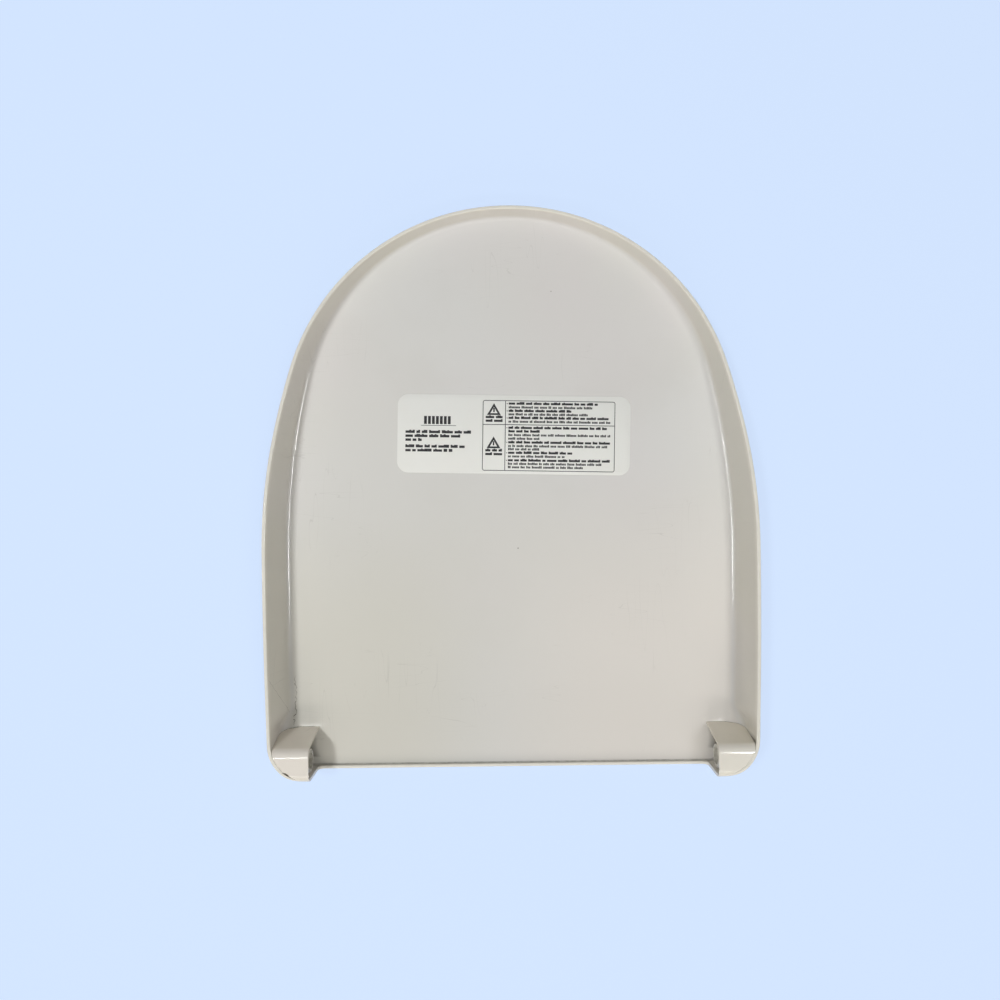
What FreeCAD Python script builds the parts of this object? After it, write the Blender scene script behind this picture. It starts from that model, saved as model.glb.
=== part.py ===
"""Lid of an electric bidet seat, lying on its back with the open side up.

+X is to the right, +Y to the front (the round end) and +Z up, out of the open side. The origin is at the
middle of the lid's length and width, on the flat outer face that it lies on. Lengths are in millimetres.
"""
import FreeCAD, Part
import math
import os

import Sketcher
from FreeCAD import Placement, Rotation, Vector

SIZES = {
    # Whole lid. Radii and half_width are those of the outline at the height of the rear rim.
    "overall_length": 450,
    "half_width": 191,
    "front_radius": 178,
    "front_centre": 52.5,
    "shoulder_radius": 600,
    "flank_radius": 4500,
    "corner_radius": 30,
    "floor_thickness": 3,
    "wall_thickness": 2.7,
    "draft_angle": 12,
    # Height of the rim above the inner floor, at the back and at the front tip, and where it levels out.
    "rear_depth": 39,
    "front_depth": 13,
    "rim_level_from": 0,
    "rim_blend_radius": 700,
    # Rear edge: a low lip between the two hinge corners.
    "lip_thickness": 2.5,
    "lip_height": 3,
    "lip_end_radius": 5,
    # Radius between the inner floor and the walls. The outside adds the floor's thickness.
    "foot_front": 4,
    "foot_side": 9.5,
    "foot_corner": 7,
    "foot_rear": 0.8,
    # Covers over the hinge bosses.
    "cover_inner_face": 157,
    "cover_depth": 33.5,
    "cover_front_radius": 5.5,
    "cover_rear_radius": 7,
    "cover_wall": 1.6,
    "cover_gap": 0.12,
    # Hinge axis, the bosses on it and the sleeves in them.
    "axis_height": 21.5,
    "axis_from_rear": 12.5,
    "boss_radius": 9.2,
    "boss_recess": 2,
    "boss_length": 17,
    "sleeve_radius": 7.7,
    "sleeve_gap": 0.05,
    "sleeve_length": 11,
    "sleeve_bore": 6.2,
    "sleeve_chamfer": 0.5,
    "keyway_width": 2.4,
    "keyway_depth": 0.7,
    # Sticker on the inner floor.
    "label_width": 189,
    "label_height": 65.8,
    "label_radius": 9,
    "label_thickness": 0.2,
    "label_right": 3.9,
    "label_forward": 43.2,
    # How far the cutting and trimming solids reach past the lid.
    "margin": 10,
}
TOP = "(sizes.floor_thickness + sizes.rear_depth)"
REAR = "(-sizes.overall_length / 2)"
BOSS_FACE = "(sizes.cover_inner_face + sizes.boss_recess)"
AXIS_Y = f"({REAR} + sizes.axis_from_rear)"
AXIS_Z = "(sizes.floor_thickness + sizes.axis_height)"
# Numbers that Sketcher uses for the points of a curve, the origin and the vertical axis.
START, END, CENTRE = 1, 2, 3
ORIGIN, Y_AXIS = -1, -2
# Turns a sketch so that it lies in the side view: its axes are Y and Z, and its normal is +X.
SIDE_VIEW = Rotation(Vector(1, 1, 1), 120)
# Turns a cylinder's axis from +Z to +X.
ALONG_X = Rotation(Vector(0, 1, 0), 90)
TOLERANCE = 0.01

doc = FreeCAD.newDocument("bidet_seat_lid")


# Driving dimensions ------------------------------------------------------------------------------
def make_sheet():
    """Write SIZES to a spreadsheet whose cells carry the same names."""
    new_sheet = doc.addObject("Spreadsheet::Sheet", "sizes")
    for row, (name, number) in enumerate(SIZES.items(), start=1):
        new_sheet.set(f"A{row}", name)
        new_sheet.set(f"B{row}", str(number))
        new_sheet.setAlias(f"B{row}", name)
    doc.recompute()
    return new_sheet


sheet = make_sheet()


def value(expression):
    """What an expression of the sheet is now, as a plain number."""
    result = sheet.evalExpression(expression)
    return float(getattr(result, "Value", result))


def bind(item, expressions):
    """Bind properties of an object to expressions of the sheet."""
    for path, expression in expressions.items():
        item.setExpression(path, expression)
    doc.recompute()
    return item


# Sketches ----------------------------------------------------------------------------------------
def arc(centre, radius, start, end):
    """Arc of a circle in a sketch, between two angles in radians."""
    return Part.ArcOfCircle(Part.Circle(Vector(*centre, 0), Vector(0, 0, 1), radius), start, end)


def line(first, second):
    return Part.LineSegment(Vector(*first, 0), Vector(*second, 0))


def constrain(sketch, kind, *arguments):
    sketch.addConstraint(Sketcher.Constraint(kind, *arguments))


def drive(sketch, kind, arguments, expression):
    """Add a dimension to a sketch, and bind it to an expression of the sheet."""
    index = sketch.addConstraint(Sketcher.Constraint(kind, *arguments, value(expression)))
    sketch.setExpression(f"Constraints[{index}]", expression)


def outline_sketch(name, height, inset, rear_inset, corner):
    """Right half of the lid's plan at one height, as arcs that run into each other.

    inset is how far the front and sides lie inside the lid's top outline, rear_inset the same for the
    rear edge, and corner the corner's radius. All are expressions.
    """
    front_size = f"sizes.front_radius - ({inset})"
    shoulder_size = f"sizes.shoulder_radius - ({inset})"
    flank_size = f"sizes.flank_radius - ({inset})"
    half_width = f"sizes.half_width - ({inset})"
    rear_edge = f"sizes.overall_length / 2 - ({rear_inset})"

    # Where the tangent arcs meet, so that the sketch starts at its solution.
    front, shoulder, flank = value(front_size), value(shoulder_size), value(flank_size)
    widest, front_y, turn = value(half_width), value("sizes.front_centre"), value(corner)
    rear_y = -value(rear_edge)
    widest_y = front_y - math.sqrt((shoulder - front) ** 2 - (shoulder - widest) ** 2)
    front_angle = math.asin((front_y - widest_y) / (shoulder - front))
    corner_angle = math.asin((rear_y + turn - widest_y) / (flank - turn))
    corner_x = widest - flank + (flank - turn) * math.cos(corner_angle)

    sketch = doc.addObject("Sketcher::SketchObject", name)
    front_arc = sketch.addGeometry(arc((0, front_y), front, front_angle, math.pi / 2))
    shoulder_arc = sketch.addGeometry(arc((widest - shoulder, widest_y), shoulder, 0, front_angle))
    flank_arc = sketch.addGeometry(arc((widest - flank, widest_y), flank, corner_angle, 0))
    corner_arc = sketch.addGeometry(arc((corner_x, rear_y + turn), turn, -math.pi / 2, corner_angle))
    rear_line = sketch.addGeometry(line((corner_x, rear_y), (0, rear_y)))
    middle_line = sketch.addGeometry(line((0, rear_y), (0, front_y + front)))

    constrain(sketch, "Tangent", front_arc, START, shoulder_arc, END)
    constrain(sketch, "Tangent", shoulder_arc, START, flank_arc, END)
    constrain(sketch, "Tangent", flank_arc, START, corner_arc, END)
    constrain(sketch, "Tangent", corner_arc, START, rear_line, START)
    constrain(sketch, "Coincident", rear_line, END, middle_line, START)
    constrain(sketch, "Coincident", middle_line, END, front_arc, END)
    constrain(sketch, "Horizontal", rear_line)
    constrain(sketch, "Horizontal", shoulder_arc, CENTRE, shoulder_arc, START)
    constrain(sketch, "PointOnObject", front_arc, CENTRE, Y_AXIS)
    constrain(sketch, "PointOnObject", front_arc, END, Y_AXIS)
    constrain(sketch, "PointOnObject", rear_line, END, Y_AXIS)
    drive(sketch, "Radius", (front_arc,), front_size)
    drive(sketch, "Radius", (shoulder_arc,), shoulder_size)
    drive(sketch, "Radius", (flank_arc,), flank_size)
    drive(sketch, "Radius", (corner_arc,), corner)
    drive(sketch, "DistanceY", (ORIGIN, START, front_arc, CENTRE), "sizes.front_centre")
    drive(sketch, "DistanceX", (ORIGIN, START, shoulder_arc, START), half_width)
    drive(sketch, "DistanceY", (rear_line, END, ORIGIN, START), rear_edge)
    return bind(sketch, {"Placement.Base.z": height})


def polygon_sketch(name, corners):
    """Closed polygon in the side view. Each corner is a pair of expressions, for Y and Z."""
    points = [(value(across), value(up)) for across, up in corners]
    sketch = doc.addObject("Sketcher::SketchObject", name)
    sketch.Placement.Rotation = SIDE_VIEW
    count = len(corners)
    for index in range(count):
        sketch.addGeometry(line(points[index], points[(index + 1) % count]))
    for index in range(count):
        constrain(sketch, "Coincident", index, END, (index + 1) % count, START)
    for index, (across, up) in enumerate(corners):
        drive(sketch, "DistanceX", (ORIGIN, START, index, START), across)
        drive(sketch, "DistanceY", (ORIGIN, START, index, START), up)
    return sketch


# Solids ------------------------------------------------------------------------------------------
def combine(kind, name, first, *others):
    """Fuse, common or cut of the first solid with the others."""
    if kind == "Cut":
        result = doc.addObject("Part::Cut", name)
        result.Base = first
        result.Tool = others[0]
    else:
        result = doc.addObject(f"Part::Multi{kind}", name)
        result.Shapes = [first, *others]
    result.Refine = True
    doc.recompute()
    return result


def mirrored(name, source):
    """The same thing on the other side of the lid's middle."""
    copy = doc.addObject("Part::Mirroring", name)
    copy.Source = source
    copy.Normal = Vector(1, 0, 0)
    doc.recompute()
    return copy


def rounded(name, solid, radius_of_edge):
    """Round edges of a solid. radius_of_edge gives an edge's radii at its two ends, or None."""
    radii = [(index, radius_of_edge(edge)) for index, edge in enumerate(solid.Shape.Edges, start=1)]
    fillet = doc.addObject("Part::Fillet", name)
    fillet.Base = solid
    fillet.Edges = [(index, *ends) for index, ends in radii if ends]
    doc.recompute()
    return fillet


def edge_ends(edge):
    return [edge.valueAt(edge.FirstParameter), edge.valueAt(edge.LastParameter)]


def prism(name, corners, start, end, roundings):
    """Solid with a constant side view between two X positions.

    corners are as in polygon_sketch. roundings says which of them are rounded: corner number to radius.
    """
    solid = doc.addObject("Part::Extrusion", f"{name}_sharp")
    solid.Base = polygon_sketch(f"{name}_profile", corners)
    solid.DirMode = "Custom"
    solid.Dir = Vector(1, 0, 0)
    solid.Solid = True
    bind(solid, {"LengthFwd": f"{end} - ({start})", "Placement.Base.x": start})
    places = {(value(corners[index][0]), value(corners[index][1])): value(radius)
              for index, radius in roundings.items()}

    def radius_of_edge(edge):
        first, last = edge_ends(edge)
        for (across, up), radius in places.items():
            if all(math.hypot(end.y - across, end.z - up) < TOLERANCE for end in (first, last)):
                return radius, radius
        return None

    return rounded(name, solid, radius_of_edge)


def leaning_half(name, bottom, inset, rear_inset, extra_radius):
    """Right half of a solid with the lid's plan, from a height up to that of the rear rim.

    It lies inside the lid's outer faces by inset and rear_inset, its front and sides lean outwards at the
    draft angle, and its foot is rounded with the inner foot's radii plus extra_radius. The rear is upright.
    """
    low_inset = f"{inset} + ({TOP} - {bottom}) * tan(sizes.draft_angle * 1deg)"
    corner = f"sizes.corner_radius - ({rear_inset})"
    low = outline_sketch(f"{name}_low_outline", bottom, low_inset, rear_inset, corner)
    high = outline_sketch(f"{name}_high_outline", TOP, inset, rear_inset, corner)
    loft = doc.addObject("Part::Loft", f"{name}_loft")
    loft.Sections = [low, high]
    loft.Solid = True
    loft.Ruled = True
    doc.recompute()

    front_end = value("sizes.front_centre + sizes.front_radius / 2")
    side_end = value("sizes.front_centre - sizes.front_radius")
    corner_end = value(f"{REAR} + sizes.corner_radius * 2 / 3")

    def radius_at(point):
        if point.y > front_end:
            foot = "sizes.foot_front"
        elif point.y > side_end:
            foot = "sizes.foot_side"
        elif point.y > corner_end:
            foot = "sizes.foot_corner"
        else:
            foot = "sizes.foot_rear"
        return value(f"{foot} + {extra_radius}")

    def radius_of_edge(edge):
        first, last = edge_ends(edge)
        at_bottom = all(abs(end.z - value(bottom)) < TOLERANCE for end in (first, last))
        in_middle = all(abs(end.x) < TOLERANCE for end in (first, last))
        return (radius_at(first), radius_at(last)) if at_bottom and not in_middle else None

    return rounded(name, loft, radius_of_edge)


def hinge_cylinder(name, radius, start, length):
    """Cylinder on the right end of the hinge axis. All three sizes are expressions."""
    cylinder = doc.addObject("Part::Cylinder", name)
    cylinder.Placement.Rotation = ALONG_X
    return bind(cylinder, {"Radius": radius, "Height": length, "Placement.Base.x": start,
                           "Placement.Base.y": AXIS_Y, "Placement.Base.z": AXIS_Z})


# Lid shell ---------------------------------------------------------------------------------------
def make_rim_trim():
    """Everything below the rim, seen from the side: level at the back, then falling to the front."""
    past_front = "(sizes.overall_length / 2 + sizes.margin)"
    fall = "(sizes.rear_depth - sizes.front_depth) / (sizes.overall_length / 2 - sizes.rim_level_from)"
    corners = [
        (REAR, "-sizes.margin"),
        (REAR, TOP),
        ("sizes.rim_level_from", TOP),
        (past_front, f"{TOP} - ({past_front} - sizes.rim_level_from) * {fall}"),
        (past_front, "-sizes.margin"),
    ]
    roundings = {1: "sizes.cover_rear_radius", 2: "sizes.rim_blend_radius"}
    return prism("rim_trim", corners, "-sizes.margin", "(sizes.half_width + sizes.margin)", roundings)


def make_rear_opening():
    """The space above the rear lip, between the hinge corners, with its lower corner rounded."""
    box = doc.addObject("Part::Box", "rear_opening_sharp")
    bind(box, {
        "Length": "sizes.cover_inner_face + sizes.margin",
        "Width": "sizes.margin + sizes.lip_thickness + sizes.cover_gap",
        "Height": "sizes.rear_depth",
        "Placement.Base.x": "-sizes.margin",
        "Placement.Base.y": f"{REAR} - sizes.margin",
        "Placement.Base.z": "sizes.floor_thickness + sizes.lip_height",
    })

    def radius_of_edge(edge):
        at_corner = all(abs(end.x - value("sizes.cover_inner_face")) < TOLERANCE
                        and abs(end.z - box.Placement.Base.z) < TOLERANCE for end in edge_ends(edge))
        return (value("sizes.lip_end_radius"),) * 2 if at_corner else None

    return rounded("rear_opening", box, radius_of_edge)


def make_lid_shell():
    """Tray with leaning walls, the lip along its rear edge, and a boss in each rear corner."""
    envelope = leaning_half("envelope", "0", "0", "0", "sizes.floor_thickness")
    body = combine("Common", "trimmed_envelope", envelope, make_rim_trim())
    hollow = leaning_half("hollow", "sizes.floor_thickness", "sizes.wall_thickness",
                          "sizes.lip_thickness", "0")
    tray = combine("Cut", "tray", body, hollow)
    open_tray = combine("Cut", "open_tray", tray, make_rear_opening())
    long_boss = hinge_cylinder("long_boss", "sizes.boss_radius", BOSS_FACE, "sizes.boss_length")
    boss = combine("Common", "boss", long_boss, envelope)
    bossed_tray = combine("Fuse", "bossed_tray", open_tray, boss)
    seat = hinge_cylinder("sleeve_seat", "sizes.sleeve_radius + sizes.sleeve_gap",
                          f"{BOSS_FACE} - sizes.margin", "sizes.sleeve_length + sizes.margin")
    right_half = combine("Cut", "right_half", bossed_tray, seat)
    left_half = mirrored("left_half", right_half)
    shell = combine("Fuse", "whole_shell", right_half, left_half)
    shell.Label = "lid_shell"
    return shell


# Covers over the hinge bosses --------------------------------------------------------------------
def cover_prism(name, inside, start):
    """Side view of a cover from its inner end outwards, as thick as inside says in from its faces."""
    lean = "tan(sizes.draft_angle * 1deg)"
    front = f"({REAR} + sizes.cover_depth - {inside} / cos(sizes.draft_angle * 1deg))"
    bottom = "-sizes.margin"
    top = f"({TOP} - {inside})"
    rear = f"({REAR} + {inside} - sizes.cover_gap)"
    corners = [
        (f"{front} + (sizes.floor_thickness + sizes.margin) * {lean}", bottom),
        (f"{front} - ({top} - sizes.floor_thickness) * {lean}", top),
        (rear, top),
        (rear, bottom),
    ]
    roundings = {1: f"sizes.cover_front_radius - {inside}", 2: f"sizes.cover_rear_radius - {inside}"}
    return prism(name, corners, start, "(sizes.half_width + sizes.margin)", roundings)


def make_hinge_covers():
    """Right and left cover: a front wall that leans back and a flat top, open towards the middle."""
    gap = "sizes.cover_gap"
    corner_space = leaning_half("corner_space", "sizes.floor_thickness", f"sizes.wall_thickness + {gap}",
                                f"sizes.lip_thickness + {gap}", "0")
    block = combine("Common", "cover_block", corner_space,
                    cover_prism("cover_outside", "0", "sizes.cover_inner_face"))
    right = combine("Cut", "right_cover", block,
                    cover_prism("cover_inside", "sizes.cover_wall",
                                "(sizes.cover_inner_face - sizes.margin)"))
    left = mirrored("left_cover", right)
    right.Label = "hinge_cover_right"
    left.Label = "hinge_cover_left"
    return [right, left]


# Sleeves in the bosses ---------------------------------------------------------------------------
def body_plane(body, role):
    return next(plane for plane in body.Origin.OriginFeatures if plane.Role == role)


def body_sketch(body, name, role):
    """Empty sketch on one of a body's own origin planes."""
    sketch = body.newObject("Sketcher::SketchObject", name)
    sketch.AttachmentSupport = (body_plane(body, role), [""])
    sketch.MapMode = "FlatFace"
    return sketch


def circle_sketch(body, name, radius):
    sketch = body_sketch(body, name, "YZ_Plane")
    circle = sketch.addGeometry(Part.Circle(Vector(0, 0, 0), Vector(0, 0, 1), value(radius)))
    constrain(sketch, "Coincident", circle, CENTRE, ORIGIN, START)
    drive(sketch, "Radius", (circle,), radius)
    return sketch


def rectangle_sketch(body, name, role, width, height):
    """Rectangle about the origin of one of a body's planes."""
    sketch = body_sketch(body, name, role)
    half_width, half_height = value(width) / 2, value(height) / 2
    corners = [(-half_width, -half_height), (half_width, -half_height),
               (half_width, half_height), (-half_width, half_height)]
    for index in range(4):
        sketch.addGeometry(line(corners[index], corners[(index + 1) % 4]))
    for index in range(4):
        constrain(sketch, "Coincident", index, END, (index + 1) % 4, START)
    for index, kind in enumerate(("Horizontal", "Vertical", "Horizontal", "Vertical")):
        constrain(sketch, kind, index)
    constrain(sketch, "Symmetric", 0, START, 1, END, ORIGIN, START)
    drive(sketch, "DistanceX", (0, START, 0, END), width)
    drive(sketch, "DistanceY", (1, START, 1, END), height)
    return sketch


def cut_through(body, name, sketch):
    """Pocket through the whole body, checked to have removed something."""
    before = body.Shape.Volume
    pocket = body.newObject("PartDesign::Pocket", name)
    pocket.Profile = sketch
    pocket.Type = "ThroughAll"
    pocket.Reversed = True
    doc.recompute()
    if body.Shape.Volume > before - TOLERANCE:
        raise RuntimeError(f"{name} cut nothing")


def make_sleeve(label, start, keyed):
    """Sleeve along +X from start, with a round bore, and with two keyways when keyed."""
    body = doc.addObject("PartDesign::Body", f"{label}_body")
    body.Label = label
    pad = body.newObject("PartDesign::Pad", f"{label}_pad")
    pad.Profile = circle_sketch(body, f"{label}_outside", "sizes.sleeve_radius")
    bind(pad, {"Length": "sizes.sleeve_length"})
    cut_through(body, f"{label}_bore", circle_sketch(body, f"{label}_bore_circle", "sizes.sleeve_bore"))
    if keyed:
        keyways = rectangle_sketch(body, f"{label}_keyway_outline", "YZ_Plane", "sizes.keyway_width",
                                   "2 * (sizes.sleeve_bore + sizes.keyway_depth)")
        cut_through(body, f"{label}_keyways", keyways)
    bored = body.Tip
    outer_edges = [f"Edge{index}" for index, edge in enumerate(bored.Shape.Edges, start=1)
                   if isinstance(edge.Curve, Part.Circle)
                   and abs(edge.Curve.Radius - value("sizes.sleeve_radius")) < TOLERANCE]
    chamfer = body.newObject("PartDesign::Chamfer", f"{label}_chamfer")
    chamfer.Base = (bored, outer_edges)
    bind(chamfer, {"Size": "sizes.sleeve_chamfer"})
    body.Tip = chamfer
    return bind(body, {"Placement.Base.x": start, "Placement.Base.y": AXIS_Y, "Placement.Base.z": AXIS_Z})


# Sticker -----------------------------------------------------------------------------------------
def make_caution_label():
    body = doc.addObject("PartDesign::Body", "caution_label_body")
    body.Label = "caution_label"
    pad = body.newObject("PartDesign::Pad", "caution_label_pad")
    pad.Profile = rectangle_sketch(body, "caution_label_outline", "XY_Plane",
                                   "sizes.label_width", "sizes.label_height")
    bind(pad, {"Length": "sizes.label_thickness"})
    upright_edges = [f"Edge{index}" for index, edge in enumerate(body.Shape.Edges, start=1)
                     if abs(edge.tangentAt(edge.FirstParameter).z) > 0.5]
    fillet = body.newObject("PartDesign::Fillet", "caution_label_corners")
    fillet.Base = (pad, upright_edges)
    bind(fillet, {"Radius": "sizes.label_radius"})
    body.Tip = fillet
    return bind(body, {"Placement.Base.x": "sizes.label_right", "Placement.Base.y": "sizes.label_forward",
                       "Placement.Base.z": "sizes.floor_thickness"})


# Assembly and export -----------------------------------------------------------------------------
def check(parts):
    """Stop if any object failed, or a sub-part is not one valid solid."""
    for item in doc.Objects:
        if "Invalid" in item.State or "Error" in item.State:
            raise RuntimeError(f"{item.Name} failed: {item.State}")
    for part in parts:
        shape = part.Shape
        if shape.isNull() or not shape.isValid() or len(shape.Solids) != 1:
            raise RuntimeError(f"{part.Label} is not one valid solid")


def main():
    left_start = f"-{BOSS_FACE} - sizes.sleeve_length"
    parts = [
        make_lid_shell(),
        *make_hinge_covers(),
        make_sleeve("pivot_bush_right", BOSS_FACE, keyed=False),
        make_sleeve("damper_socket_left", left_start, keyed=True),
        make_caution_label(),
    ]
    doc.recompute()
    check(parts)
    os.makedirs("parts", exist_ok=True)
    for part in parts:
        part.Shape.exportStep(f"parts/{part.Label}.step")
        box = part.Shape.optimalBoundingBox()
        print(f"{part.Label}: {part.Shape.Volume / 1000:.2f} cm3, "
              f"x {box.XMin:.2f} to {box.XMax:.2f}, y {box.YMin:.2f} to {box.YMax:.2f}, "
              f"z {box.ZMin:.2f} to {box.ZMax:.2f}")


main()
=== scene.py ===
import math
import random

import bmesh
import bpy
from mathutils import Matrix, Vector


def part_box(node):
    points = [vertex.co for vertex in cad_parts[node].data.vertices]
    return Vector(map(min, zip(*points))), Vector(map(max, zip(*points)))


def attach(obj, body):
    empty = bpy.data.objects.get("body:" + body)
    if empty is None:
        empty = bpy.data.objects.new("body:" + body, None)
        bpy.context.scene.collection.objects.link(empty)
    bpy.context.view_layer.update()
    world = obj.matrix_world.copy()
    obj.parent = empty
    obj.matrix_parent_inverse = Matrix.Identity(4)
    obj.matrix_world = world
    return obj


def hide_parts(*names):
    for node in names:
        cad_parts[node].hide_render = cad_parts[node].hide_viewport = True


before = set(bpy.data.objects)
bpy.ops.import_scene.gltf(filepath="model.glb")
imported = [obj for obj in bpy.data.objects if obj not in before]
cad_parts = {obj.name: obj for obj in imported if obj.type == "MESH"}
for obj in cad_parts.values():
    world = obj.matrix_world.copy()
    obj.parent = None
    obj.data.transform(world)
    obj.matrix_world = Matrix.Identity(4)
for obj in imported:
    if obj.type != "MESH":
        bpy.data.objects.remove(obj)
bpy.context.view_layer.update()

# The lid of a bidet seat lies on its back, open side up. Lengths here are millimetres, in the CAD frame.
MM = 0.001


def node_box(name):
    """Lowest and highest corners of a CAD node, in millimetres."""
    return [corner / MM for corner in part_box(name)]


# --- Sizes that the frame gives ---
shell_low, shell_high = node_box("lid_shell")
cover_low, cover_high = node_box("hinge_cover_right")
bush_low, bush_high = node_box("pivot_bush_right")
label_low, label_high = node_box("caution_label")
HALF_WIDTH = shell_high.x
REAR = shell_low.y
TOP = shell_high.z
FLOOR = cover_low.z
COVER_INNER_FACE = cover_low.x
COVER_FRONT = cover_high.y
AXIS_Y = (bush_low.y + bush_high.y) / 2
AXIS_Z = (bush_low.z + bush_high.z) / 2
BOSS_FACE = bush_low.x

# --- Sizes that follow the CAD model's own ---
FRONT_RADIUS = 178
FRONT_CENTRE = 52.5
SHOULDER_RADIUS = 600
FLANK_RADIUS = 4500
CORNER_RADIUS = 30
CORNER_Y = REAR + CORNER_RADIUS
WALL = 2.7
REAR_WALL = 2.5
LEAN = math.tan(math.radians(12))
RIM_FALL = 26 / 225
RIM_BLEND = 40.3
REAR_ROUNDING = 7
LIP_TOP = FLOOR + 3
LIP_END_RADIUS = 5
FOOT_FRONT = 4
FOOT_REAR = 0.8
COVER_WALL = 1.6
GAP = 0.12
BOSS_RADIUS = 9.2
BOSS_LENGTH = 11.6
SLEEVE_SEAT_RADIUS = 7.75
SLEEVE_SEAT_DEPTH = 11
LABEL_CORNER = 9

# Where the arcs of the plan meet: the widest place, and the angle between the front and shoulder arcs.
WIDEST_Y = FRONT_CENTRE - math.sqrt((SHOULDER_RADIUS - FRONT_RADIUS) ** 2
                                    - (SHOULDER_RADIUS - HALF_WIDTH) ** 2)
FRONT_ANGLE = math.asin((FRONT_CENTRE - WIDEST_Y) / (SHOULDER_RADIUS - FRONT_RADIUS))

# Where the looks go beyond the CAD model. The side walls lean until UPRIGHT_FROM and stand upright from
# UPRIGHT_TO to the rear, on a larger foot. The covers' front edge is rounder. The label is a little askew,
# and less high by LABEL_TRIM at its upper and lower edges.
UPRIGHT_FROM = -174
UPRIGHT_TO = -191
FOOT_SIDE = 8.5
FOOT_CORNER = 14
COVER_FRONT_ROUNDING = 7
LABEL_TILT = math.radians(-1.5)
LABEL_TRIM = 1

# Softened edges, for looks only.
RIM_ROUNDING = 0.75
END_ROUNDING = 0.35
COVER_EDGE = 0.4

# Colours of the studio: the floor's glow, what the camera sees beyond the floor, and two kinds of light.
FLOOR_GLOW = (0.565, 0.678, 0.875, 1)
HORIZON = (0.6, 0.72, 0.93, 1)
WARM_LIGHT = (1.0, 0.955, 0.88)
COOL_LIGHT = (0.975, 0.99, 1.0)


# --- General helpers ---
def steps(start, end, count):
    """Evenly spaced numbers from start to end, both included."""
    return [start + (end - start) * index / count for index in range(count + 1)]


def clamp(number, low=0.0, high=1.0):
    """The number, held between two limits."""
    return max(low, min(high, number))


def smooth(number):
    """Ease a share from 0 to 1, with no kink at either end."""
    number = clamp(number)
    return number * number * (3 - 2 * number)


def conic(start, corner, end, weight, count):
    """Round off a corner: points from start to end.

    With the cosine of half the turn as weight, it is an arc.
    """
    points = []
    for share in steps(0, 1, count):
        first, middle, last = (1 - share) ** 2, 2 * share * (1 - share) * weight, share ** 2
        points.append((start * first + corner * middle + end * last) / (first + middle + last))
    return points


def make_piece(name, points, faces, material, smooth_angle=35, attributes=None):
    """Mesh object from points in millimetres. It rides on the lid and takes its finish from a slot."""
    mesh = bpy.data.meshes.new(name)
    mesh.from_pydata([Vector(point) * MM for point in points], [], faces)
    for attribute_name, values in (attributes or {}).items():
        mesh.attributes.new(attribute_name, "FLOAT", "POINT").data.foreach_set("value", values)
    edit = bmesh.new()
    edit.from_mesh(mesh)
    bmesh.ops.recalc_face_normals(edit, faces=edit.faces)
    edit.to_mesh(mesh)
    edit.free()
    mesh.shade_smooth()
    mesh.set_sharp_from_angle(angle=math.radians(smooth_angle))
    mesh.materials.append(material)
    piece = bpy.data.objects.new(name, mesh)
    bpy.context.scene.collection.objects.link(piece)
    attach(piece, "root")
    return piece


def weigh_normals(piece):
    """Let wide flat faces keep their shading right up to a rounded edge."""
    modifier = piece.modifiers.new("weighted_normals", "WEIGHTED_NORMAL")
    modifier.mode = "FACE_AREA"
    modifier.weight = 80
    modifier.keep_sharp = True


def number_loops(count, end, start=0):
    """Point numbers of loops that follow one another, with count points in each."""
    return [list(range(first, first + count)) for first in range(start, end, count)]


def join_loops(loops, closed_rows=False):
    """Quads between neighbouring loops of point numbers. closed_rows also joins each loop's two ends."""
    faces = []
    for first, second in zip(loops, loops[1:]):
        count = len(first)
        for index in range(count if closed_rows else count - 1):
            after = (index + 1) % count
            faces.append((first[index], first[after], second[after], second[index]))
    return faces


# --- Lid shell ---
def corner_centre_x(inset, radius):
    """X of a rear corner's centre in the plan that lies inset inside the rim's outer line."""
    reach = FLANK_RADIUS - inset - radius
    angle = math.asin((CORNER_Y - WIDEST_Y) / reach)
    return HALF_WIDTH - FLANK_RADIUS + reach * math.cos(angle), angle


CORNER_X, CORNER_ANGLE = corner_centre_x(0, CORNER_RADIUS)


def plan_point(station, inset, radius):
    """X and Y of the plan at a station, and its outward direction. radius is the rear corners'."""
    kind, place = station["kind"], station["place"]
    if kind in ("front", "shoulder", "flank"):
        angle = place
        if kind == "front":
            x, y, size = 0, FRONT_CENTRE, FRONT_RADIUS
        elif kind == "shoulder":
            x, y, size = HALF_WIDTH - SHOULDER_RADIUS, WIDEST_Y, SHOULDER_RADIUS
        else:
            x, y, size = HALF_WIDTH - FLANK_RADIUS, WIDEST_Y, FLANK_RADIUS
        outward = Vector((math.cos(angle), math.sin(angle)))
        return Vector((x, y)) + outward * (size - inset), outward
    centre_x, _ = corner_centre_x(inset, radius)
    across = place if kind == "corner" else (place - centre_x) / radius
    if across <= 0:
        return Vector((place, CORNER_Y - radius)), Vector((0, -1))
    across = min(across, 1)
    outward = Vector((across, -math.sqrt(1 - across ** 2)))
    return Vector((centre_x, CORNER_Y)) + outward * radius, outward


def lean_at(y):
    """How much the side walls lean outwards at Y, as a slope."""
    return LEAN * (1 - smooth((UPRIGHT_FROM - y) / (UPRIGHT_FROM - UPRIGHT_TO)))


def flank_foot(y):
    """Radius of the foot beside the flank, larger where the wall stands upright."""
    return FOOT_SIDE + (FOOT_CORNER - FOOT_SIDE) * smooth((UPRIGHT_FROM - y) / (UPRIGHT_FROM - UPRIGHT_TO))


def corner_foot(across):
    """Radius of the foot round a rear corner. across is the cosine of the place's angle."""
    share = math.acos(clamp(across)) / (math.pi / 2)
    return FOOT_CORNER + (FOOT_REAR - FOOT_CORNER) * smooth(share)


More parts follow.
